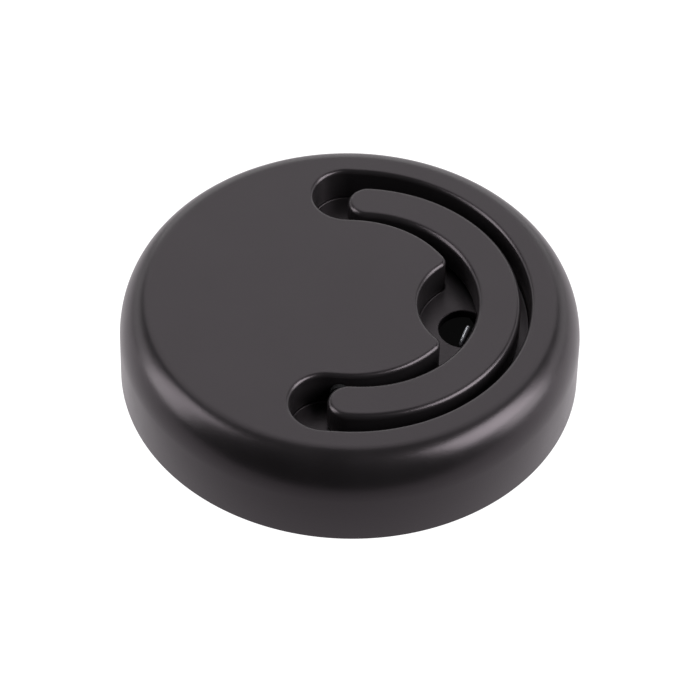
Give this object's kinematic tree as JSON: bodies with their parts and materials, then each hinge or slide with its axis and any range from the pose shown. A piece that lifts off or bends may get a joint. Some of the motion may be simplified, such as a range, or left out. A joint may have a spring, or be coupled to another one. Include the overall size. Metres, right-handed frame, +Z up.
{
  "type": "desk grommet",
  "caption": "Round desk cable cap with a C-shaped pull handle folding flush into its top; lifts off a collared base ring.",
  "frame": {"origin": "centre of the base at the desk's surface, under the foam pad", "axes": "+Z up, out of the desk; +X from the centre towards the middle of the C-shaped handle"},
  "size_m": [0.1, 0.1, 0.022],
  "materials": {
    "satin_black_plastic": "satin, fine moulded grain",
    "inner_black_plastic": "matte",
    "black_nylon": "matte",
    "blackened_steel": "black oxide",
    "spring_steel": "bright drawn wire",
    "black_rubber": "matte",
    "dark_foam": "closed-cell foam"
  },
  "bodies": {
    "base": {"base_ring": "inner_black_plastic", "grip_ring": "black_rubber", "desk_pad": "dark_foam"},
    "cap": {"top_cap": "satin_black_plastic", "recess_floor": "inner_black_plastic", "lead_clip": "spring_steel", "clip_screw": "blackened_steel", "hinge_pin_front": "blackened_steel", "hinge_pin_back": "blackened_steel", "hinge_spacer_front": "black_nylon", "hinge_spacer_back": "black_nylon", "rim_screw_1": "blackened_steel", "rim_screw_2": "blackened_steel", "rim_screw_3": "blackened_steel", "rim_screw_4": "blackened_steel", "island_screw_1": "blackened_steel", "island_screw_2": "blackened_steel", "rest_pad_1": "black_rubber", "rest_pad_2": "black_rubber", "rest_pad_3": "black_rubber", "rest_pad_4": "black_rubber"},
    "handle": {"pull_handle": "satin_black_plastic"}
  },
  "joints": [
    {"name": "cap_lift", "type": "slide", "parent": "base", "child": "cap", "axis": [0, 0, 1], "range_m": [0, 0.02]},
    {"name": "handle_fold", "type": "hinge", "parent": "cap", "child": "handle", "pos_m": [-0.0005, 0, 0.0178], "axis": [0, -1, 0], "range_deg": [0, 115]}
  ]
}
